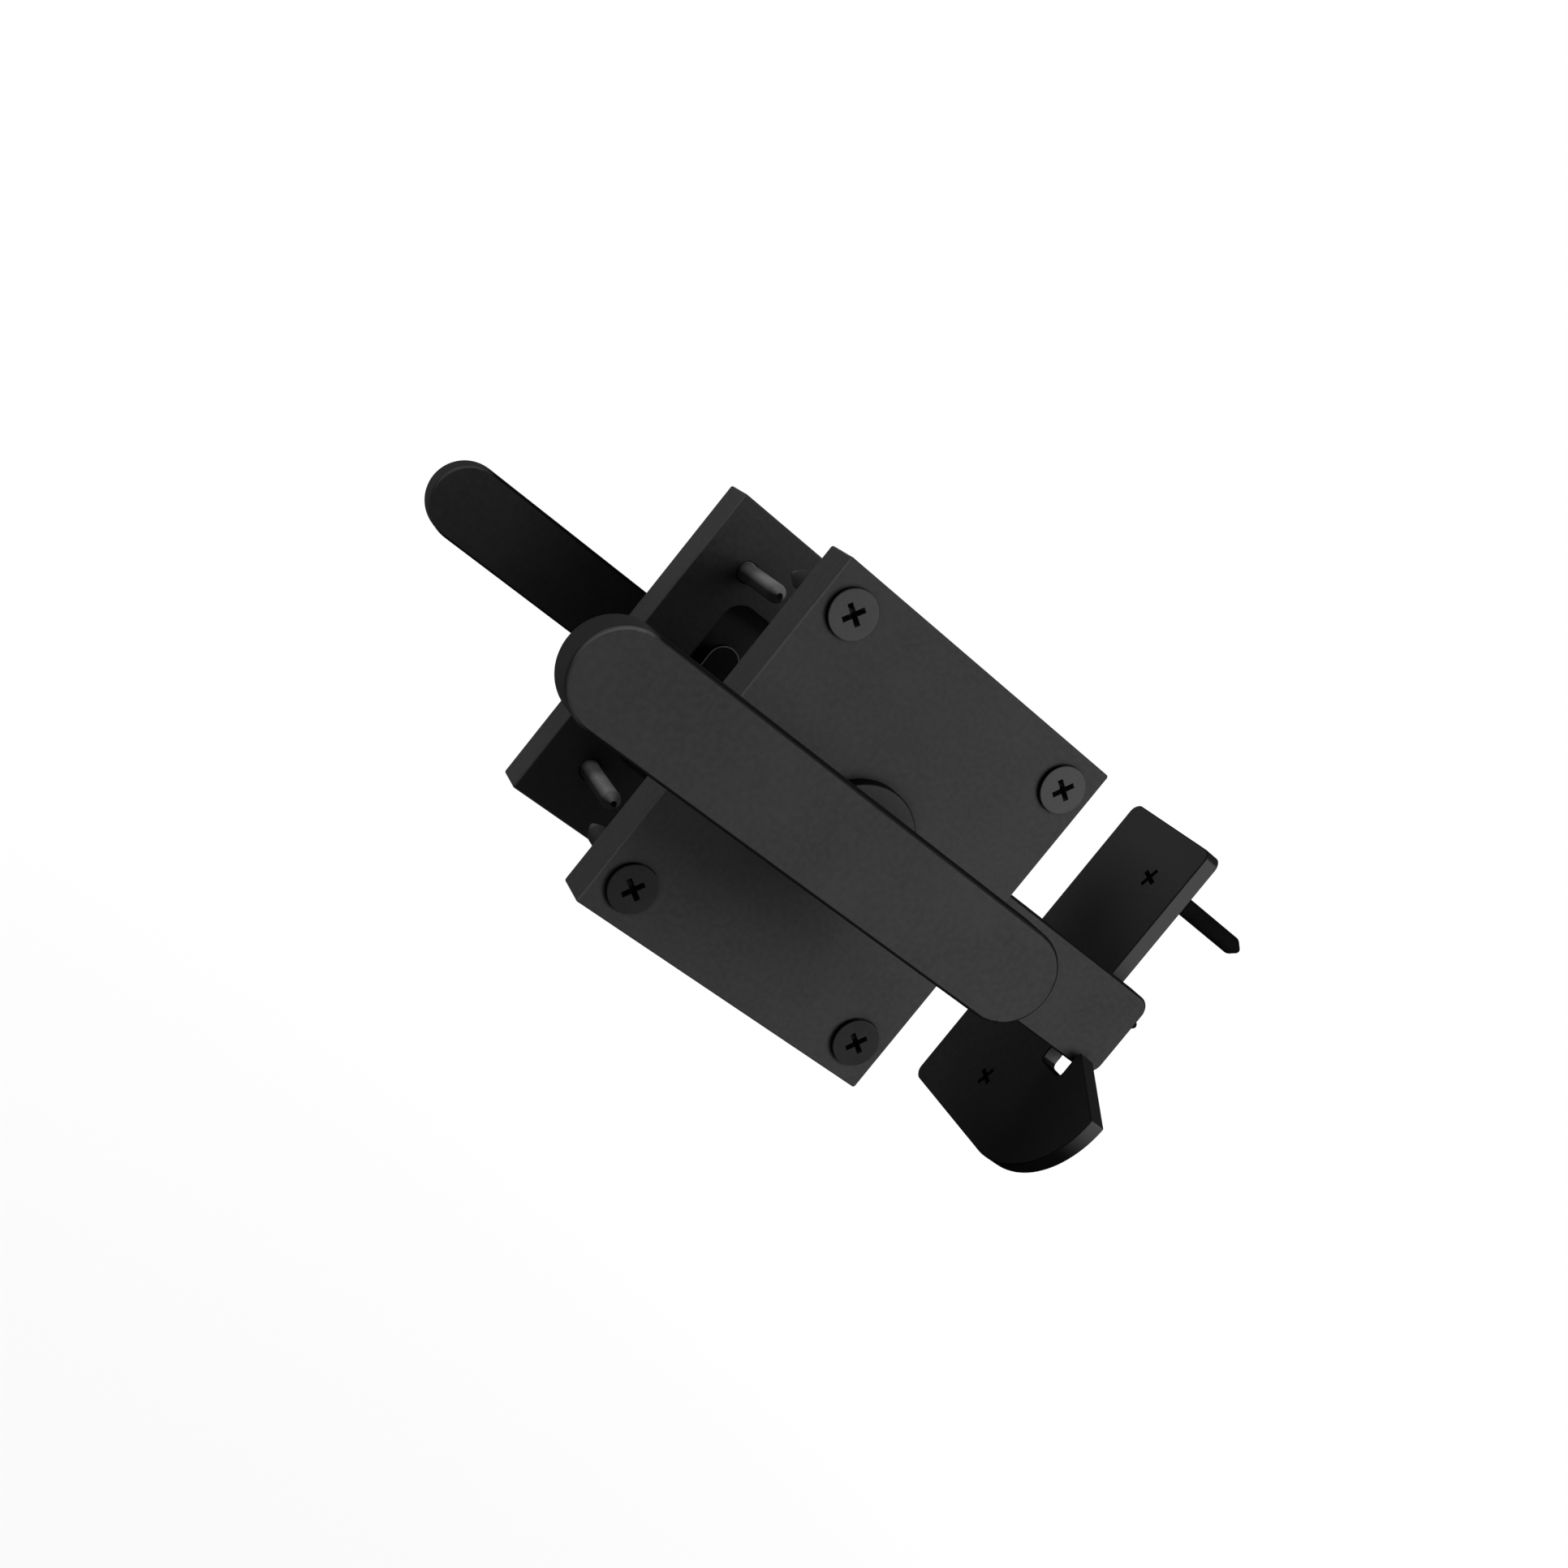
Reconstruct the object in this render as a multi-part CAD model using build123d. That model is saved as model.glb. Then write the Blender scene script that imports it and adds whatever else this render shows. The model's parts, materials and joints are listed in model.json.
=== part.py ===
from build123d import *
from math import cos, radians, tan
import os

os.makedirs("parts", exist_ok=True)

# Depth runs along Y, away from the viewer, from the front plate's gate side; the pivot runs through X 0, Z 0

# Gate, plates and their pockets
gate_thickness = 50.8
plate_width = 68.2
plate_height = 75.0
plate_thickness = 10.0
plate_edge_round = 0.5
pocket_width = 43.8
pocket_height = 41.0
pocket_corner = 4.4
pocket_depth = 7.5

# Levers
lever_length = 100.8
lever_width = 17.25
lever_thickness = 8.0
lever_tail = 26.2
lever_edge_round = 0.7
lever_standoff = 31.0

# Pivot: bush, hub, spindle, clip and grub screw
flange_radius = 10.9
flange_thickness = 2.9
flange_edge_round = 0.4
bush_radius = 8.0
journal_radius = 6.0
running_fit = 0.05
post_radius = 7.0
end_float = 0.2
spigot_radius = 4.0
spigot_length = 6.0
flat_to_flat = 9.0
hub_end_setback = 0.3
spindle_side = 6.0
spindle_fit = 0.05
socket_depth = 23.5
spindle_end_gap = 0.5
clip_radius = 8.0
clip_groove_radius = 5.0
clip_thickness = 1.0
clip_mouth = 7.0
grub_radius = 2.5
grub_length = 3.5
grub_key = 2.5
grub_key_depth = 1.6
grub_distance = 18.0

# Latch bar and its swing
bar_width = 18.6
bar_drop = 0.3
bar_thickness = 5.0
bar_setback = 1.7
bar_corner = 3.0
bar_edge_break = 0.4
bar_overhang = 3.7
swing = 20.0
stop_clearance = 0.3

# Return spring, its arm and its pin
arm_thickness = 2.0
arm_ring_radius = 9.0
arm_web_height = 8.0
horn_centre = -14.6
horn_width = 7.2
horn_top = 11.65
catch_height = 4.0
catch_depth = 1.6
wire_radius = 0.5
wire_sides = 8
coil_radius = 8.5
coil_turns = 2
coil_pitch = 1.15
coil_gap = 0.2
leg_reach = 16.5
leg_touch = 0.02
pin_radius = 1.25
pin_centre = 14.5
pin_grip = 2.0
pin_length = 4.6

# Strike plate
strike_distance = 71.0
strike_thickness = 3.8
strike_height = 75.25
strike_top = 39.9
strike_depth = 30.5
strike_corner = 2.2
strike_edge_break = 0.25
notch_width = 7.8
notch_bottom = -13.35
notch_corner = 1.2
hook_top = -6.6
hook_tip_round = 0.7
ramp_front = 23.5
ramp_bottom = -14.65
nose_step = 0.7
nose_flatness = 1.067

# Screws
head_radius = 4.6
head_rim = 0.3
head_angle = 82.0
neck_radius = 2.2
neck_clearance = 0.2
head_relief = 0.1
head_relief_depth = 0.6
shank_radius = 2.0
point_length = 2.2
point_end_radius = 0.6
plate_screw_length = 32.0
plate_head_proud = 1.0
front_screw_x = 27.45
front_screw_z = 30.1
back_screw_x = 23.3
back_screw_z = 25.55
strike_screw_length = 29.9
strike_head_sunk = 0.05
strike_screw_margin = 11.2
strike_outer_depth = 10.4
strike_middle_depth = 20.5
recess_span = 4.6
recess_arm = 1.05
recess_depth = 1.9
recess_taper = 9.0
recess_turn = 60.0

# Sizes that follow from those above
plate_face = -plate_thickness
pocket_floor = -pocket_depth
flange_face = plate_face - flange_thickness
lever_back = plate_face - lever_standoff
lever_face = lever_back - lever_thickness
lever_centre = lever_tail - lever_length / 2
post_end = flange_face - end_float
clip_back = -bar_setback
clip_front = clip_back + clip_thickness
bar_face = -bar_setback - bar_thickness
bar_end = strike_distance + strike_thickness + bar_overhang
bar_half = bar_width / 2
channel_bottom = -bar_drop - bar_half - stop_clearance
channel_top = plate_width / 2 * tan(radians(swing)) + bar_half / cos(radians(swing)) + stop_clearance
bore_radius = journal_radius + running_fit
socket_side = spindle_side + 2 * spindle_fit
spindle_end = -socket_depth + spindle_end_gap
head_slope = tan(radians(head_angle / 2))
head_height = head_rim + (head_radius - neck_radius) / head_slope
neck_end = plate_thickness + plate_head_proud
arm_face = -bar_setback - arm_thickness
coil_start = arm_face - coil_gap - wire_radius
wire_top = wire_radius - coil_radius
pin_tip = pocket_floor - pin_grip + pin_length
pin_height = wire_top + leg_touch + pin_radius
strike_bottom = strike_top - strike_height
nose_radius = ramp_bottom - nose_step - strike_bottom
upper_strike_screw = (strike_outer_depth, strike_top - strike_screw_margin)
middle_strike_screw = (strike_middle_depth, (strike_top + strike_bottom) / 2)
lower_strike_screw = (strike_outer_depth, strike_bottom + strike_screw_margin)
strike_screw_places = [upper_strike_screw, middle_strike_screw, lower_strike_screw]
middle = Plane.XZ.offset(-gate_thickness / 2)


def slab(outline, near, far):
    # An outline drawn as seen from the front, made solid between two depths
    return extrude(Plane.XZ.offset(-far) * outline, amount=far - near)


def rod(radius, near, far, x=0.0, z=0.0):
    return slab(Pos(x, z) * Circle(radius), near, far)


def to_rear(shape):
    return mirror(shape, about=middle)


def head_cone(top_radius, height, bottom_radius):
    # A countersunk head or its seat, top at Z 0, narrowing downwards
    return Pos(0, 0, -height / 2) * Cone(bottom_radius, top_radius, height)


def wood_screw(length):
    # Head top at Z 0, point down; the plain neck ends where a plate screw enters the gate
    rim = Pos(0, 0, -head_rim / 2) * Cylinder(head_radius, head_rim)
    cone = Pos(0, 0, -head_rim) * head_cone(head_radius, head_height - head_rim, neck_radius)
    neck = Pos(0, 0, -(head_height + neck_end) / 2) * Cylinder(neck_radius, neck_end - head_height)
    shank_length = length - neck_end - point_length
    shank = Pos(0, 0, -neck_end - shank_length / 2) * Cylinder(shank_radius, shank_length)
    point = Pos(0, 0, point_length / 2 - length) * Cone(point_end_radius, shank_radius, point_length)
    arms = Rectangle(recess_span, recess_arm) + Rectangle(recess_arm, recess_span)
    recess = extrude(Rot(0, 0, recess_turn) * arms, amount=-recess_depth, taper=recess_taper)
    return rim + cone + neck + shank + point - recess


def screw_hole(depth, proud):
    # The seat for a head standing proud by the given amount, and a clear hole; the plate's face is at Z 0
    rim_bottom = proud - head_rim
    seat = Pos(0, 0, rim_bottom) * head_cone(head_radius, head_height - head_rim, neck_radius)
    hole = Pos(0, 0, -depth / 2) * Cylinder(neck_radius + neck_clearance, depth)
    if rim_bottom > 0:
        relief = Cylinder(head_radius + head_relief, head_relief_depth)
        return seat + hole + Pos(0, 0, -head_relief_depth / 2) * relief
    return seat + hole + Pos(0, 0, rim_bottom / 2) * Cylinder(head_radius, -rim_bottom)


def corners(x, z):
    return [(-x, z), (x, z), (-x, -z), (x, -z)]


def facing(x, y, z, way=-1):
    # A plane square to the depth, its Z towards the viewer, or away from the viewer with way 1
    return Plane(origin=(x, y, z), x_dir=(-way, 0, 0), z_dir=(0, way, 0))


def gate_plate(screw_x, screw_z):
    body = slab(Rectangle(plate_width, plate_height), plate_face, 0)
    body = fillet(body.edges(), plate_edge_round)
    body -= slab(RectangleRounded(pocket_width, pocket_height, pocket_corner), pocket_floor, 0)
    body -= rod(bush_radius, plate_face, 0)
    for x, z in corners(screw_x, screw_z):
        body -= facing(x, plate_face, z) * screw_hole(plate_thickness, plate_head_proud)
    return body


def plate_screws(screw_x, screw_z, head_top, way):
    screw = wood_screw(plate_screw_length)
    return Compound(children=[facing(x, head_top, z, way) * screw for x, z in corners(screw_x, screw_z)])


def lever():
    body = slab(Pos(lever_centre, 0) * SlotOverall(lever_length, lever_width), lever_face, lever_back)
    body = fillet(body.edges().filter_by(Plane.XZ), lever_edge_round)
    return body - rod(spigot_radius, lever_back - spigot_length, lever_back)


def bush():
    flange = rod(flange_radius, flange_face, plate_face)
    flange = fillet(flange.edges().sort_by(Axis.Y)[0], flange_edge_round)
    return flange + rod(bush_radius, plate_face, pocket_floor) - rod(bore_radius, flange_face, pocket_floor)


def double_flat():
    return Circle(journal_radius) & Rectangle(3 * journal_radius, flat_to_flat)


def hub():
    body = rod(spigot_radius, lever_back - spigot_length, lever_back)
    body += rod(post_radius, lever_back, post_end)
    body += rod(journal_radius, post_end, pocket_floor)
    body += slab(double_flat(), pocket_floor, -hub_end_setback)
    body -= slab(Circle(bore_radius) - Circle(clip_groove_radius), clip_back, clip_front)
    body -= slab(Rectangle(socket_side, socket_side), -socket_depth, 0)
    return body - Pos(0, -grub_distance, -post_radius / 2) * Cylinder(grub_radius, post_radius)


def clip():
    ring = Circle(clip_radius) - Circle(clip_groove_radius)
    return slab(ring - Pos(0, -clip_radius) * Rectangle(clip_mouth, 2 * clip_radius), clip_back, clip_front)


def grub_screw():
    top = -spindle_side / 2
    body = Pos(0, -grub_distance, top - grub_length / 2) * Cylinder(grub_radius, grub_length)
    key = RegularPolygon(grub_key / 2, 6, major_radius=False)
    return body - Pos(0, -grub_distance, top - grub_length) * extrude(key, amount=grub_key_depth)


def latch_bar():
    outline = Circle(bar_half) + Pos(bar_end / 2, -bar_drop) * Rectangle(bar_end, bar_width)
    outline = fillet(outline.vertices().group_by(Axis.X)[-1], bar_corner)
    body = slab(outline, bar_face, -bar_setback)
    body = chamfer(body.edges().filter_by(Plane.XZ), bar_edge_break)
    return body - slab(double_flat(), bar_face, -bar_setback)


def spring_arm():
    horn_bottom = wire_top + leg_touch
    horn_cap = horn_top - horn_width / 2
    horn = Pos(horn_centre, horn_cap) * Circle(horn_width / 2)
    horn += Pos(horn_centre, (horn_cap + horn_bottom) / 2) * Rectangle(horn_width, horn_cap - horn_bottom)
    web = Pos(horn_centre / 2, 0) * Rectangle(-horn_centre, arm_web_height)
    body = slab(Circle(arm_ring_radius) + web + horn - double_flat(), arm_face, -bar_setback)
    catch = Pos(horn_centre, horn_bottom + catch_height / 2) * Rectangle(horn_width, catch_height)
    return body + slab(catch, arm_face - catch_depth, arm_face)


def wire_section(place, way):
    # Eight-sided, which keeps the coil's mesh light
    outline = RegularPolygon(wire_radius, wire_sides, major_radius=False, rotation=180 / wire_sides)
    return Plane(origin=place, x_dir=(0, 1, 0), z_dir=(way, 0, 0)) * outline


def half_turn(index):
    # Half a turn of wire, tilted so that its ends lie half a pitch apart and meet the next half squarely
    side = 1 if index % 2 == 0 else -1
    depth = coil_start - index * coil_pitch / 2
    start = (0, depth, -side * coil_radius)
    axis = Axis((0, depth - coil_pitch / 4, 0), (0, -2 * coil_radius, -side * coil_pitch / 2))
    return revolve(wire_section(start, side), axis, 180)


def spring_leg(x, depth):
    return extrude(wire_section((0, depth, -coil_radius), x), amount=leg_reach)


def return_spring():
    # The coil starts and ends below the hub; one leg pushes the horn up, the other bears on the pin
    body = spring_leg(-1, coil_start)
    for index in range(2 * coil_turns):
        body += half_turn(index)
    return body + spring_leg(1, coil_start - coil_turns * coil_pitch)


def spring_pin():
    return rod(pin_radius, pocket_floor - pin_grip, pin_tip, pin_centre, pin_height)


def nearest(outline, y, z):
    return outline.vertices().sort_by_distance((y, z, 0))[0]


def strike_plate():
    nose = (-ramp_front, strike_bottom + nose_radius)
    foot = (nose_radius - ramp_front, strike_bottom)
    edge = Polyline(foot, (strike_depth, strike_bottom), (strike_depth, strike_top), (0, strike_top),
                    (0, notch_bottom), (-notch_width, notch_bottom), (-notch_width, hook_top),
                    (-ramp_front, ramp_bottom), nose)
    outline = make_face(edge + RadiusArc(nose, foot, -nose_radius * nose_flatness))
    for y, z in [(strike_depth, strike_bottom), (strike_depth, strike_top), (0, strike_top)]:
        outline = fillet(nearest(outline, y, z), strike_corner)
    for y, z in [(0, notch_bottom), (-notch_width, notch_bottom)]:
        outline = fillet(nearest(outline, y, z), notch_corner)
    outline = fillet(nearest(outline, -notch_width, hook_top), hook_tip_round)
    body = extrude(Plane.YZ.offset(strike_distance) * outline, amount=strike_thickness)
    body = chamfer(body.edges().filter_by(Plane.YZ), strike_edge_break)
    for y, z in strike_screw_places:
        body -= across(strike_distance, y, z) * screw_hole(strike_thickness, -strike_head_sunk)
    return body


def across(x, y, z):
    # A plane square to the strike's screws, its Z towards the gate
    return Plane(origin=(x, y, z), x_dir=(0, 1, 0), z_dir=(-1, 0, 0))


def strike_screws():
    head_top = strike_distance + strike_head_sunk
    return [across(head_top, y, z) * wood_screw(strike_screw_length) for y, z in strike_screw_places]


channel_left = pocket_width / 2 - pocket_corner
channel_width = plate_width / 2 - channel_left
channel = Rectangle(channel_width, channel_top - channel_bottom, align=(Align.MIN, Align.MIN))
front_plate = gate_plate(front_screw_x, front_screw_z)
front_plate -= slab(Pos(channel_left, channel_bottom) * channel, pocket_floor, 0)
back_plate = gate_plate(back_screw_x, back_screw_z) - spring_pin()
head_top = plate_face - plate_head_proud

nodes = {
    "front_plate": front_plate,
    "front_plate_screws": plate_screws(front_screw_x, front_screw_z, head_top, -1),
    "front_bush": bush(),
    "front_lever": lever(),
    "front_hub": hub(),
    "front_grub_screw": grub_screw(),
    "front_clip": clip(),
    "latch_bar": latch_bar(),
    "spindle": slab(Rectangle(spindle_side, spindle_side), spindle_end, gate_thickness - spindle_end),
    "back_plate": to_rear(back_plate),
    "back_plate_screws": plate_screws(back_screw_x, back_screw_z, gate_thickness - head_top, 1),
    "rear_bush": to_rear(bush()),
    "rear_lever": to_rear(lever()),
    "rear_hub": to_rear(hub()),
    "rear_grub_screw": to_rear(grub_screw()),
    "rear_clip": to_rear(clip()),
    "spring_arm": to_rear(spring_arm()),
    "return_spring": to_rear(return_spring()),
    "spring_pin": to_rear(spring_pin()),
    "strike_plate": strike_plate(),
    "strike_screws": Compound(children=strike_screws()),
}

for name, shape in nodes.items():
    export_step(shape, f"parts/{name}.step")
    print(name, len(shape.solids()), round(shape.volume, 1))
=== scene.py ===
import bpy
import bmesh
import json
import math
from mathutils import Matrix, Vector


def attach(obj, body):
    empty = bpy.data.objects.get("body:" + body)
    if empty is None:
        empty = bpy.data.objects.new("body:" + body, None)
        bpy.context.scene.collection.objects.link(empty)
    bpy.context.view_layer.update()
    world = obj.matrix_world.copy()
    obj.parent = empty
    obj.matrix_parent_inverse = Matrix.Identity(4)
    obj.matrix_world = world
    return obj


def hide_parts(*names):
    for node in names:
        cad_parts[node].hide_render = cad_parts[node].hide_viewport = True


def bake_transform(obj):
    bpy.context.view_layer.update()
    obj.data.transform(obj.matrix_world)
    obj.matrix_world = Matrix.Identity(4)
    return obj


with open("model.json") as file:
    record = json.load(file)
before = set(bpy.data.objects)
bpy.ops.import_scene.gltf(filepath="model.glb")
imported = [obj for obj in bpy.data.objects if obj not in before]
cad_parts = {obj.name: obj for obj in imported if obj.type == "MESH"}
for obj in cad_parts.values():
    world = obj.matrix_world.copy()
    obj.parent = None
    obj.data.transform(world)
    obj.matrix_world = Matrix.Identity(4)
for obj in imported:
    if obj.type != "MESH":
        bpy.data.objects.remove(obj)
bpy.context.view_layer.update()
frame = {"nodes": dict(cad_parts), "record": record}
nodes = frame["nodes"]
scene = bpy.context.scene
scene.view_settings.view_transform = "Standard"
print("frame loaded with", len(nodes), "nodes")


# camera, solved from the straight edges of both plates and both levers
cameraSetup = {
    "place": (-0.155202, -0.289730, 0.018135),
    "azimuth": -26.257,
    "elevation": 3.328,
    "roll": 38.87,
    "focal": 2219.59,        # in pixels of the square frame
    "frameSize": 1932,
    "sensor": 36.0,
    "nearClip": 0.01,
    "farClip": 20.0,
}


def addCamera(setup):
    azimuth = math.radians(setup["azimuth"])
    elevation = math.radians(setup["elevation"])
    roll = math.radians(setup["roll"])
    flat = math.cos(elevation)
    back = Vector((math.sin(azimuth) * flat, -math.cos(azimuth) * flat, math.sin(elevation)))
    level = Vector((0, 0, 1)).cross(back).normalized()
    upright = back.cross(level)
    right = level * math.cos(roll) + upright * math.sin(roll)
    up = upright * math.cos(roll) - level * math.sin(roll)
    data = bpy.data.cameras.new("camera")
    data.sensor_width = setup["sensor"]
    data.lens = setup["focal"] * setup["sensor"] / setup["frameSize"]
    data.clip_start = setup["nearClip"]
    data.clip_end = setup["farClip"]
    camera = bpy.data.objects.new("camera", data)
    scene.collection.objects.link(camera)
    turn = Matrix((right, up, back)).transposed().to_4x4()
    camera.matrix_world = Matrix.Translation(setup["place"]) @ turn
    scene.camera = camera


addCamera(cameraSetup)
print("camera placed")


# small helpers for node materials
def newMaterial(name):
    material = bpy.data.materials.new(name)
    material.use_nodes = True
    tree = material.node_tree
    tree.nodes.clear()
    output = tree.nodes.new("ShaderNodeOutputMaterial")
    return material, tree, output


def addNode(tree, kind, **values):
    node = tree.nodes.new(kind)
    for key, value in values.items():
        if key in node.inputs:
            node.inputs[key].default_value = value
        else:
            setattr(node, key, value)
    return node


def setOrLink(tree, socket, value):
    if isinstance(value, bpy.types.NodeSocket):
        tree.links.new(value, socket)
    else:
        socket.default_value = value


def addNoise(tree, coords, scale, grain):
    detail, rough = grain
    noise = addNode(tree, "ShaderNodeTexNoise", Scale=scale, Detail=detail, Roughness=rough)
    tree.links.new(coords, noise.inputs["Vector"])
    return noise.outputs["Fac"]


def mapRange(tree, value, fromBand, toBand):
    node = addNode(tree, "ShaderNodeMapRange", clamp=True)
    for slotName, number in zip(("From Min", "From Max", "To Min", "To Max"), (*fromBand, *toBand)):
        node.inputs[slotName].default_value = number
    tree.links.new(value, node.inputs["Value"])
    return node.outputs["Result"]


def multiply(tree, first, second):
    node = addNode(tree, "ShaderNodeMath", operation="MULTIPLY", use_clamp=True)
    setOrLink(tree, node.inputs[0], first)
    setOrLink(tree, node.inputs[1], second)
    return node.outputs[0]


def mixColour(tree, factor, first, second):
    node = addNode(tree, "ShaderNodeMix", data_type="RGBA")
    tree.links.new(factor, node.inputs["Factor"])
    for socket, colour in ((node.inputs[6], first), (node.inputs[7], second)):
        setOrLink(tree, socket, (*colour, 1.0) if isinstance(colour, tuple) else colour)
    return node.outputs[2]


def grey(tone):
    return (tone, tone, tone)


# what all the coats share: detail and roughness of each noise, and the bands they fade over
coatGrain = {
    "cloud": (4.0, 0.6), "speck": (2.0, 0.5), "peel": (2.0, 0.5),
    "cloudBand": (0.3, 0.7), "speckBand": (0.35, 0.65), "cavityBand": (0.25, 0.85),
    "cavitySamples": 8, "edgeSamples": 6,
}


def tintMask(tree, tint):
    # a tint shows near a spot, along an edge, or where the surface is turned its way
    coords = addNode(tree, "ShaderNodeTexCoord")
    amount = tint.get("amount", 1.0)
    if "spot" in tint:
        gap = addNode(tree, "ShaderNodeVectorMath", operation="DISTANCE")
        tree.links.new(coords.outputs["Object"], gap.inputs[0])
        gap.inputs[1].default_value = tint["spot"]
        amount = mapRange(tree, gap.outputs["Value"], tint["reach"], (amount, 0.0))
        if "way" not in tint:
            return amount
    dot = addNode(tree, "ShaderNodeVectorMath", operation="DOT_PRODUCT")
    turned = dot.outputs["Value"]
    if "edge" in tint:
        bevel = addNode(tree, "ShaderNodeBevel", samples=coatGrain["edgeSamples"], Radius=tint["edge"])
        plain = addNode(tree, "ShaderNodeNewGeometry")
        tree.links.new(bevel.outputs["Normal"], dot.inputs[0])
        tree.links.new(plain.outputs["Normal"], dot.inputs[1])
    else:
        tree.links.new(coords.outputs["Normal"], dot.inputs[0])
        dot.inputs[1].default_value = tint["way"]
    if tint.get("bothSides"):
        flip = addNode(tree, "ShaderNodeMath", operation="ABSOLUTE")
        tree.links.new(turned, flip.inputs[0])
        turned = flip.outputs[0]
    return multiply(tree, mapRange(tree, turned, tint["band"], (0.0, 1.0)), amount)


def coatedMetal(name, look):
    material, tree, output = newMaterial(name)
    coords = addNode(tree, "ShaderNodeTexCoord").outputs["Object"]
    shader = addNode(tree, "ShaderNodeBsdfPrincipled")
    shader.inputs["Metallic"].default_value = look.get("metallic", 0.0)
    shader.inputs["Specular IOR Level"].default_value = look["specular"]
    cloud = addNoise(tree, coords, look["cloudScale"], coatGrain["cloud"])
    speck = addNoise(tree, coords, look["speckScale"], coatGrain["speck"])
    peel = addNoise(tree, coords, look["peelScale"], coatGrain["peel"])
    cloudFade = mapRange(tree, cloud, coatGrain["cloudBand"], (0.0, 1.0))
    speckFade = mapRange(tree, speck, coatGrain["speckBand"], (0.0, 1.0))
    colour = mixColour(tree, cloudFade, look["dark"], look["light"])
    colour = mixColour(tree, multiply(tree, speckFade, look["speckAmount"]), colour, look["speckColour"])
    for tint in look.get("tints", ()):
        colour = mixColour(tree, tintMask(tree, tint), colour, tint["colour"])
    # painted shade: corners, pockets and the gaps between parts are darker
    cavity = addNode(tree, "ShaderNodeAmbientOcclusion", samples=coatGrain["cavitySamples"],
                     Distance=look["cavityReach"])
    cavityShade = mapRange(tree, cavity.outputs["AO"], coatGrain["cavityBand"], (look["cavityAmount"], 0.0))
    colour = mixColour(tree, cavityShade, colour, look["cavityShadeColour"])
    tree.links.new(colour, shader.inputs["Base Color"])
    rough = mapRange(tree, cloud, coatGrain["cloudBand"], look["roughness"])
    tree.links.new(rough, shader.inputs["Roughness"])
    bump = addNode(tree, "ShaderNodeBump", Strength=look["peelStrength"], Distance=look["peelDepth"])
    tree.links.new(peel, bump.inputs["Height"])
    tree.links.new(bump.outputs["Normal"], shader.inputs["Normal"])
    tree.links.new(shader.outputs["BSDF"], output.inputs["Surface"])
    return material


# satin black powder coat on the plates, with a painted highlight along their left front edges
leftEdgeHighlight = {"way": (-0.707, -0.707, 0.0), "band": (0.80, 0.95), "amount": 0.9,
              "colour": (0.085, 0.085, 0.086)}
blackLook = {
    "dark": (0.0275, 0.0275, 0.0280), "light": (0.0330, 0.0330, 0.0336),
    "cloudScale": 70.0, "speckScale": 900.0, "speckAmount": 0.35, "speckColour": (0.042, 0.042, 0.043),
    "roughness": (0.50, 0.60), "specular": 0.01, "tints": (leftEdgeHighlight,),
    "peelScale": 1500.0, "peelStrength": 0.25, "peelDepth": 0.00006,
    "cavityReach": 0.008, "cavityAmount": 0.75, "cavityShadeColour": grey(0.006),
}
wideShadeReach = 0.09     # painted shade: the pieces behind darken towards each other over this distance
plateCoat = coatedMetal("plateCoat", blackLook)
backCoat = coatedMetal("backCoat", dict(blackLook, cavityReach=wideShadeReach))

# levers and bar: painted shade on the narrow sides and rounded edges, painted light on the left end and a
# painted glint on its round edge
leverLightAndShade = (
    {"way": (0.0, 1.0, 0.0), "bothSides": True, "band": (0.985, 0.93), "colour": grey(0.006)},
    {"way": (0.0, 1.0, 0.0), "bothSides": True, "band": (0.30, 0.10), "colour": grey(0.010)},
    {"way": (-1.0, 0.0, 0.0), "band": (0.02, 0.20), "colour": grey(0.034)},
    {"way": (-0.55, -0.72, 0.42), "band": (0.82, 0.95), "colour": (0.090, 0.090, 0.091)},
)
leverLook = dict(blackLook, specular=0.0, tints=leverLightAndShade)
leverCoat = coatedMetal("leverCoat", leverLook)
rearLeverCoat = coatedMetal("rearLeverCoat", dict(leverLook, cavityReach=wideShadeReach))

# strike plate: painted light at the top and along the front edge, a painted highlight on the notch wall
# where the bar drops in, painted shade lower down, on the narrow sides and below
strikeLightAndShade = (
    {"spot": (0.071, 0.018, 0.040), "reach": (0.0, 0.045), "colour": grey(0.042)},
    {"spot": (0.071, -0.006, -0.035), "reach": (0.005, 0.030), "colour": grey(0.018)},
    {"way": (1.0, 0.0, 0.0), "bothSides": True, "band": (0.985, 0.93), "colour": grey(0.011)},
    {"way": (0.0, -1.0, 0.0), "band": (0.90, 0.985), "colour": (0.045, 0.045, 0.046)},
    # painted highlight on the notch wall, which lies in the bar's shade
    {"spot": (0.071, 0.0, -0.0118), "reach": (0.0030, 0.0055), "way": (0.0, -1.0, 0.0),
     "band": (0.90, 0.985), "colour": grey(0.15)},
    {"way": (0.0, 0.0, -1.0), "band": (0.06, 0.50), "colour": grey(0.0025)},
)
strikeCoat = coatedMetal("strikeCoat", dict(blackLook, specular=0.0, tints=strikeLightAndShade))

# bushes with painted shade on their rim, and the arm in the back pocket painted dark as shade, with a
# painted highlight along its rim
bushRimShade = {"way": (0.0, 1.0, 0.0), "bothSides": True, "band": (0.985, 0.90), "colour": grey(0.004)}
bushCoat = coatedMetal("bushCoat", dict(
    blackLook, dark=grey(0.026), light=grey(0.030), speckColour=grey(0.034), tints=(bushRimShade,)))
armRimHighlight = {"edge": 0.0005, "band": (0.995, 0.93), "colour": grey(0.16)}
shadedArmCoat = coatedMetal("shadedArmCoat", dict(
    blackLook, dark=grey(0.005), light=grey(0.007), speckColour=grey(0.009), tints=(armRimHighlight,)))
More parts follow.
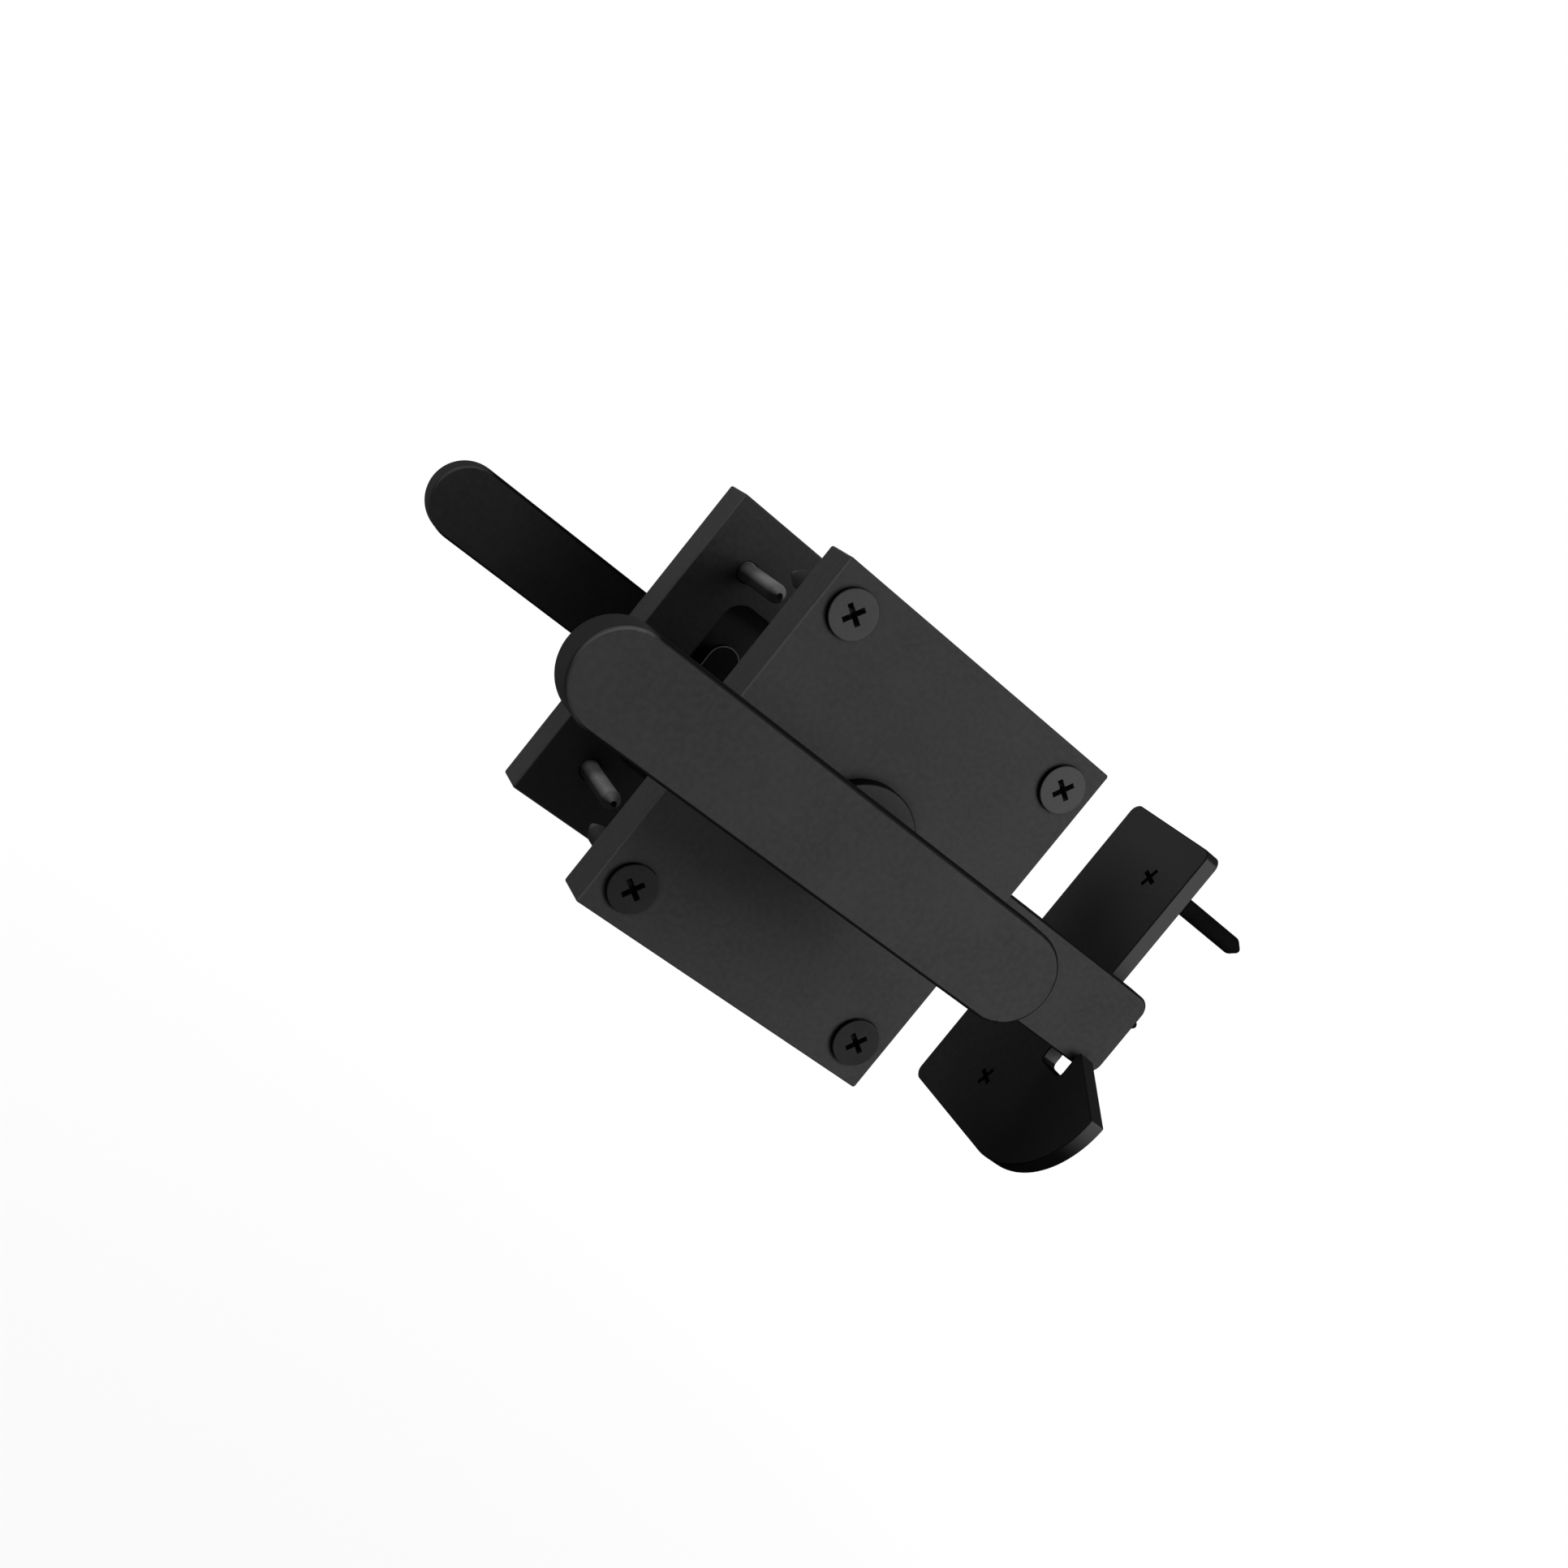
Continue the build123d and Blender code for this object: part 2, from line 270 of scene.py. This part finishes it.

# the screw heads' coat is a little smoother, the lower heads darker as painted shade; the shanks are plain
# on the back screws, painted darker as shade on the front screws and nearly black as shade on the strike's
headLook = {
    "dark": (0.036, 0.036, 0.0365), "light": (0.044, 0.044, 0.0445),
    "cloudScale": 160.0, "speckScale": 1300.0, "speckAmount": 0.25, "speckColour": (0.048, 0.048, 0.049),
    "roughness": (0.34, 0.44), "specular": 0.02,
    "peelScale": 2600.0, "peelStrength": 0.2, "peelDepth": 0.00003,
    "cavityReach": 0.002, "cavityAmount": 0.6, "cavityShadeColour": grey(0.006),
}
# painted shade under the shanks and on the flat ends of the points, painted light on the points that face
# back
shankUnderShade = {"way": (0.0, 0.0, -1.0), "band": (-0.45, 0.35), "colour": grey(0.020)}
shankPointLight = {"way": (0.0, 1.0, 0.0), "band": (0.08, 0.30), "colour": grey(0.070)}
shankTipShade = {"way": (0.0, -1.0, 0.0), "band": (0.60, 0.80), "colour": grey(0.008)}
headCoat = coatedMetal("headCoat", headLook)
lowHeadShade = coatedMetal("lowHeadShade", dict(
    headLook, dark=grey(0.012), light=grey(0.016), speckColour=grey(0.019)))
shankLook = dict(headLook, specular=0.0)
plainShank = coatedMetal("plainShank", dict(
    shankLook, dark=grey(0.18), light=grey(0.23), speckColour=grey(0.26),
    tints=(shankUnderShade, shankTipShade)))
frontShankShade = coatedMetal("frontShankShade", dict(
    shankLook, dark=grey(0.020), light=grey(0.028), speckColour=grey(0.035),
    tints=(shankPointLight, shankUnderShade)))
strikeShankShade = coatedMetal("strikeShankShade", dict(
    shankLook, dark=grey(0.0022), light=grey(0.004), speckColour=grey(0.006)))

# zinc-plated steel inside the latch
plainSteel = coatedMetal("plainSteel", {
    "dark": (0.36, 0.36, 0.35), "light": (0.50, 0.50, 0.49), "metallic": 1.0,
    "cloudScale": 210.0, "speckScale": 1900.0, "speckAmount": 0.3, "speckColour": (0.58, 0.57, 0.54),
    "roughness": (0.28, 0.46), "specular": 0.5,
    "peelScale": 3200.0, "peelStrength": 0.3, "peelDepth": 0.00002,
    "cavityReach": 0.004, "cavityAmount": 0.5, "cavityShadeColour": grey(0.10),
})

finishBySlot = {"black_coat": plateCoat, "black_screw": headCoat, "bare_steel": plainSteel}
finishByNode = {
    "front_lever": leverCoat, "rear_lever": rearLeverCoat, "latch_bar": leverCoat,
    "back_plate": backCoat, "strike_plate": strikeCoat,
    "front_bush": bushCoat, "rear_bush": bushCoat, "spring_arm": shadedArmCoat,
}


def dressNodes():
    for part in frame["record"]["subparts"]:
        finish = finishByNode.get(part["node"], finishBySlot[part["material_slot"]])
        piece = nodes[part["node"]]
        piece.data.materials.clear()
        piece.data.materials.append(finish)


dressNodes()
print("finishes set on the solids")


# small helpers for meshes
def meshObject(name, mesh):
    data = bpy.data.meshes.new(name)
    mesh.to_mesh(data)
    mesh.free()
    piece = bpy.data.objects.new(name, data)
    scene.collection.objects.link(piece)
    return piece


def smoothShade(piece, sharpAngle):
    for face in piece.data.polygons:
        face.use_smooth = True
    piece.data.set_sharp_from_angle(angle=math.radians(sharpAngle))


def bridge(mesh, upper, lower):
    count = len(upper)
    for k in range(count):
        mesh.faces.new((upper[k], lower[k], lower[(k + 1) % count], upper[(k + 1) % count]))


def closedTube(mesh, rings):
    mesh.faces.new(rings[0])
    for upper, lower in zip(rings, rings[1:]):
        bridge(mesh, upper, lower)
    mesh.faces.new(list(reversed(rings[-1])))
    bmesh.ops.recalc_face_normals(mesh, faces=mesh.faces)


# countersunk screws with a cross recess, a plain shank and a short blunt point
screwShape = {
    "headRadius": 0.0046, "rim": 0.0003, "rimRound": 0.00012, "coneAngle": 41.0, "headDepth": 0.0031,
    "neckRadius": 0.0022, "neckEnd": 0.0110,
    "shankRadius": 0.0020, "pointLength": 0.0022, "pointRadius": 0.0006, "pointRound": 0.00025,
    "blend": 0.0001,          # step of the small blends along it
    "cornerInset": 0.3,       # how far in the middle of a rounded corner lies
    "recessSpan": 0.0047, "recessArm": 0.00108, "recessDepth": 0.0024, "recessFoot": 0.0030,
    "recessTaper": 0.8, "recessAbove": 0.0005,
    "around": 48, "sharpAngle": 25.0,
}


def ringOf(mesh, radius, height, count):
    turns = [2 * math.pi * k / count for k in range(count)]
    return [mesh.verts.new((radius * math.cos(turn), radius * math.sin(turn), height)) for turn in turns]


def screwProfile(shape, length, headRadius, softEdge, pointLength):
    # radius and height down the screw, from its flat top to its point
    slope = math.tan(math.radians(shape["coneAngle"]))
    neck, shank, tip = shape["neckRadius"], shape["shankRadius"], shape["pointRadius"]
    step, inset, soft = shape["blend"], shape["cornerInset"], shape["pointRound"]
    coneEnd = shape["rim"] + (headRadius - neck) / slope
    pointStart = length - pointLength
    head = [(headRadius - softEdge - step, 0.0), (headRadius - softEdge, 0.0),
            (headRadius - softEdge * inset, -softEdge * inset),
            (headRadius, -softEdge), (headRadius, -shape["rim"])]
    body = [(neck + 2 * step, -coneEnd + step), (neck, -coneEnd - 3 * step),
            (neck, -shape["neckEnd"] + 3 * step), (shank, -shape["neckEnd"]),
            (shank, -pointStart + 2 * step), (shank - step, -pointStart - step)]
    point = [(tip + 2 * inset * soft, -length + soft), (tip, -length + inset * soft),
             (tip - (1 - inset) * soft, -length)]
    return head + body + point


def screwBody(shape, length, headRadius, softEdge, pointLength):
    mesh = bmesh.new()
    profile = screwProfile(shape, length, headRadius, softEdge, pointLength)
    closedTube(mesh, [ringOf(mesh, radius, height, shape["around"]) for radius, height in profile])
    return mesh


def recessTool(shape, turn):
    # one slot of the cross, narrowing downwards
    mesh = bmesh.new()
    corners = []
    for span, arm, height in (
            (shape["recessSpan"], shape["recessArm"], shape["recessAbove"]),
            (shape["recessFoot"], shape["recessArm"] * shape["recessTaper"], -shape["recessDepth"])):
        for x, y in ((-1, -1), (1, -1), (1, 1), (-1, 1)):
            corners.append(mesh.verts.new((x * span / 2, y * arm / 2, height)))
    for face in ((3, 2, 1, 0), (4, 5, 6, 7), (0, 1, 5, 4), (1, 2, 6, 5), (2, 3, 7, 6), (3, 0, 4, 7)):
        mesh.faces.new([corners[k] for k in face])
    spin = Matrix.Rotation(math.radians(turn), 3, "Z")
    bmesh.ops.rotate(mesh, verts=mesh.verts, cent=(0, 0, 0), matrix=spin)
    bmesh.ops.recalc_face_normals(mesh, faces=mesh.faces)
    return mesh


def screwData(name, shape, length, headRadius, softEdge, turn, pointLength):
    blank = meshObject(name, screwBody(shape, length, headRadius, softEdge, pointLength))
    tools = [meshObject(name + "Tool", recessTool(shape, turn + quarter)) for quarter in (0, 90)]
    for tool in tools:
        cut = blank.modifiers.new("recess", "BOOLEAN")
        cut.operation = "DIFFERENCE"
        cut.solver = "EXACT"
        cut.object = tool
    shown = blank.evaluated_get(bpy.context.evaluated_depsgraph_get())
    data = bpy.data.meshes.new_from_object(shown)
    for spent in (blank, *tools):
        bpy.data.objects.remove(spent)
    for face in data.polygons:
        face.material_index = 1 if face.center.z < -shape["headDepth"] else 0
    return data


def screwGroup(name, data, places, node, finishes):
    # finishes of the upper heads, the shanks and the lower heads
    mesh = bmesh.new()
    for place in places:
        vertsBefore, facesBefore = len(mesh.verts), len(mesh.faces)
        mesh.from_mesh(data)
        mesh.verts.ensure_lookup_table()
        mesh.faces.ensure_lookup_table()
        bmesh.ops.transform(mesh, matrix=place, verts=mesh.verts[vertsBefore:])
        # the lower pair of heads takes the darker head finish, painted shade
        lowPair = place.translation.z < 0
        for face in mesh.faces[facesBefore:]:
            if lowPair and face.material_index == 0:
                face.material_index = 2
    piece = meshObject(name, mesh)
    for finish in finishes:
        piece.data.materials.append(finish)
    smoothShade(piece, screwShape["sharpAngle"])
    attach(piece, "gate_side")
    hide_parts(node)


def headPlace(x, y, z, across, outward):
    across, outward = Vector(across), Vector(outward)
    turn = Matrix((across, outward.cross(across), outward)).transposed().to_4x4()
    return Matrix.Translation((x, y, z)) @ turn


screwPlaces = {
    "frontX": 0.02745, "frontZ": 0.0301, "frontTop": -0.0110,
    "backX": 0.0233, "backZ": 0.02555, "backTop": 0.0618,
    "strikeTop": 0.07099, "strikeSpots": ((0.0104, 0.0287), (0.0205, 0.002275), (0.0104, -0.02415)),
    "plateLength": 0.032, "frontPoint": 0.0045, "plateTurn": 60.0,
    "strikeLength": 0.0299, "strikeTurn": 73.0,
    "strikeHead": 0.00468, "strikeRim": 0.000005,     # hides the seam of its seat, the coat runs over it
}


def addScrews(shape, spots):
    fourWays = ((-1, 1), (1, 1), (-1, -1), (1, -1))
    plateHead = (spots["plateLength"], shape["headRadius"], shape["rimRound"], spots["plateTurn"])
    strikeHead = (spots["strikeLength"], spots["strikeHead"], spots["strikeRim"], spots["strikeTurn"])
    frontScrew = screwData("frontScrew", shape, *plateHead, spots["frontPoint"])
    backScrew = screwData("backScrew", shape, *plateHead, shape["pointLength"])
    strikeScrew = screwData("strikeScrew", shape, *strikeHead, shape["pointLength"])
    front = [headPlace(x * spots["frontX"], spots["frontTop"], z * spots["frontZ"], (1, 0, 0), (0, -1, 0))
             for x, z in fourWays]
    back = [headPlace(x * spots["backX"], spots["backTop"], z * spots["backZ"], (-1, 0, 0), (0, 1, 0))
            for x, z in fourWays]
    strike = [headPlace(spots["strikeTop"], y, z, (0, 1, 0), (-1, 0, 0)) for y, z in spots["strikeSpots"]]
    screwGroup("frontPlateScrews", frontScrew, front, "front_plate_screws", (headCoat, frontShankShade, lowHeadShade))
    screwGroup("backPlateScrews", backScrew, back, "back_plate_screws", (headCoat, plainShank, lowHeadShade))
    screwGroup("strikeScrews", strikeScrew, strike, "strike_screws", (strikeCoat, strikeShankShade, strikeCoat))


addScrews(screwShape, screwPlaces)
print("screws cut")


# return spring of round wire, drawn still; the real one winds up as the lever turns
springShape = {
    "wireRadius": 0.0005, "coilRadius": 0.0085, "turns": 2, "legReach": 0.0165,
    "leverLeg": 0.0552, "pinLeg": 0.0575,     # depths of its two legs
    "around": 12, "perTurn": 48, "perLeg": 8, "sharpAngle": 40.0,
}


def springPath(shape):
    # points from the lever's leg to the pin's, each with its share in the lever's turn
    radius, reach = shape["coilRadius"], shape["legReach"]
    first, last = shape["leverLeg"], shape["pinLeg"]
    legSteps, coilSteps = shape["perLeg"], shape["perTurn"] * shape["turns"]
    path = []
    for k in range(legSteps):
        path.append((Vector((-reach * (1 - k / legSteps), first, -radius)), 1.0))
    for k in range(coilSteps + 1):
        along = k / coilSteps
        angle = 2 * math.pi * shape["turns"] * along
        depth = first + (last - first) * along
        path.append((Vector((radius * math.sin(angle), depth, -radius * math.cos(angle))), 1.0 - along))
    for k in range(legSteps):
        path.append((Vector((reach * (k + 1) / legSteps, last, -radius)), 0.0))
    return path


def wireMesh(points, radius, around):
    mesh = bmesh.new()
    turns = [2 * math.pi * k / around for k in range(around)]
    rings = []
    for k, point in enumerate(points):
        along = (points[min(k + 1, len(points) - 1)] - points[max(k - 1, 0)]).normalized()
        out = along.cross(Vector((0, 1, 0))).normalized()
        side = out.cross(along)
        spokes = [math.cos(turn) * out + math.sin(turn) * side for turn in turns]
        rings.append([mesh.verts.new(point + radius * spoke) for spoke in spokes])
    closedTube(mesh, rings)
    return mesh


def addSpring(shape):
    points, shares = zip(*springPath(shape))
    piece = meshObject("returnSpring", wireMesh(points, shape["wireRadius"], shape["around"]))
    piece.data.materials.append(plainSteel)
    smoothShade(piece, shape["sharpAngle"])
    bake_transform(piece)
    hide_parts("return_spring")


addSpring(springShape)
print("spring wound")


# studio: pale floor well below the latch, white surroundings, soft lamps
studio = {
    "floorHeight": -0.30, "floorSize": 4.0, "floorColour": grey(0.55),
    "floorFade": (0.15, 0.7), "floorGlow": (0.9, 1.0),     # whiter from the first distance to the second
    "ambient": 0.085,
    "lamps": (
        {"name": "keyLow", "place": (0.2726, -0.3894, 0.0668), "size": 0.22, "power": 1.62},
        {"name": "keyLeft", "place": (0.1126, -0.4202, 0.2029), "size": 0.22, "power": 0.88},
        {"name": "keyHigh", "place": (0.2495, -0.3564, 0.2029), "size": 0.22, "power": 0.53},
        {"name": "rimLamp", "place": (-0.683, 0.683, 0.259), "size": 0.30, "power": 4.45},
        {"name": "leftLamp", "place": (-0.754, 0.133, 0.643), "size": 0.30, "power": 1.10},
        {"name": "backLamp", "place": (0.235, 0.875, 0.423), "size": 0.40, "power": 5.5},
    ),
}


def addLamp(setup):
    data = bpy.data.lights.new(setup["name"], "AREA")
    data.shape = "SQUARE"
    data.size = setup["size"]
    data.energy = setup["power"]
    lamp = bpy.data.objects.new(setup["name"], data)
    scene.collection.objects.link(lamp)
    aim = (-Vector(setup["place"])).to_track_quat("-Z", "Y")     # at the pivot
    lamp.matrix_world = Matrix.Translation(setup["place"]) @ aim.to_matrix().to_4x4()
    lamp.visible_camera = False


def seesBackground(tree):
    path = addNode(tree, "ShaderNodeLightPath")
    total = path.outputs["Is Camera Ray"]
    for ray in ("Is Glossy Ray", "Is Transmission Ray"):
        both = addNode(tree, "ShaderNodeMath", operation="MAXIMUM")
        tree.links.new(total, both.inputs[0])
        tree.links.new(path.outputs[ray], both.inputs[1])
        total = both.outputs[0]
    return total


def mixShaders(tree, factor, first, second, output):
    mix = addNode(tree, "ShaderNodeMixShader")
    for socket, source in zip(mix.inputs, (factor, first.outputs[0], second.outputs[0])):
        tree.links.new(source, socket)
    tree.links.new(mix.outputs[0], output.inputs["Surface"])


def addWorld(ambient):
    world = bpy.data.worlds.new("surroundings")
    scene.world = world
    world.use_nodes = True
    tree = world.node_tree
    tree.nodes.clear()
    output = addNode(tree, "ShaderNodeOutputWorld")
    white = (1.0, 1.0, 1.0, 1.0)
    soft = addNode(tree, "ShaderNodeBackground", Color=white, Strength=ambient)
    bright = addNode(tree, "ShaderNodeBackground", Color=white, Strength=1.0)
    mixShaders(tree, seesBackground(tree), soft, bright, output)


def addFloor(setup):
    mesh = bmesh.new()
    half = setup["floorSize"] / 2
    corners = ((-half, -half), (half, -half), (half, half), (-half, half))
    mesh.faces.new([mesh.verts.new((x, y, 0)) for x, y in corners])
    floor = meshObject("floor", mesh)
    floor.location = (0, 0, setup["floorHeight"])
    material, tree, output = newMaterial("floorPaper")
    paper = addNode(tree, "ShaderNodeBsdfDiffuse", Color=(*setup["floorColour"], 1.0))
    glow = addNode(tree, "ShaderNodeEmission", Strength=1.0)
    coords = addNode(tree, "ShaderNodeTexCoord").outputs["Object"]
    reach = addNode(tree, "ShaderNodeVectorMath", operation="LENGTH")
    tree.links.new(coords, reach.inputs[0])
    fade = mapRange(tree, reach.outputs["Value"], setup["floorFade"], setup["floorGlow"])
    mixShaders(tree, multiply(tree, seesBackground(tree), fade), paper, glow, output)
    floor.data.materials.append(material)


addWorld(studio["ambient"])
addFloor(studio)
for lampSetup in studio["lamps"]:
    addLamp(lampSetup)
print("studio lit")
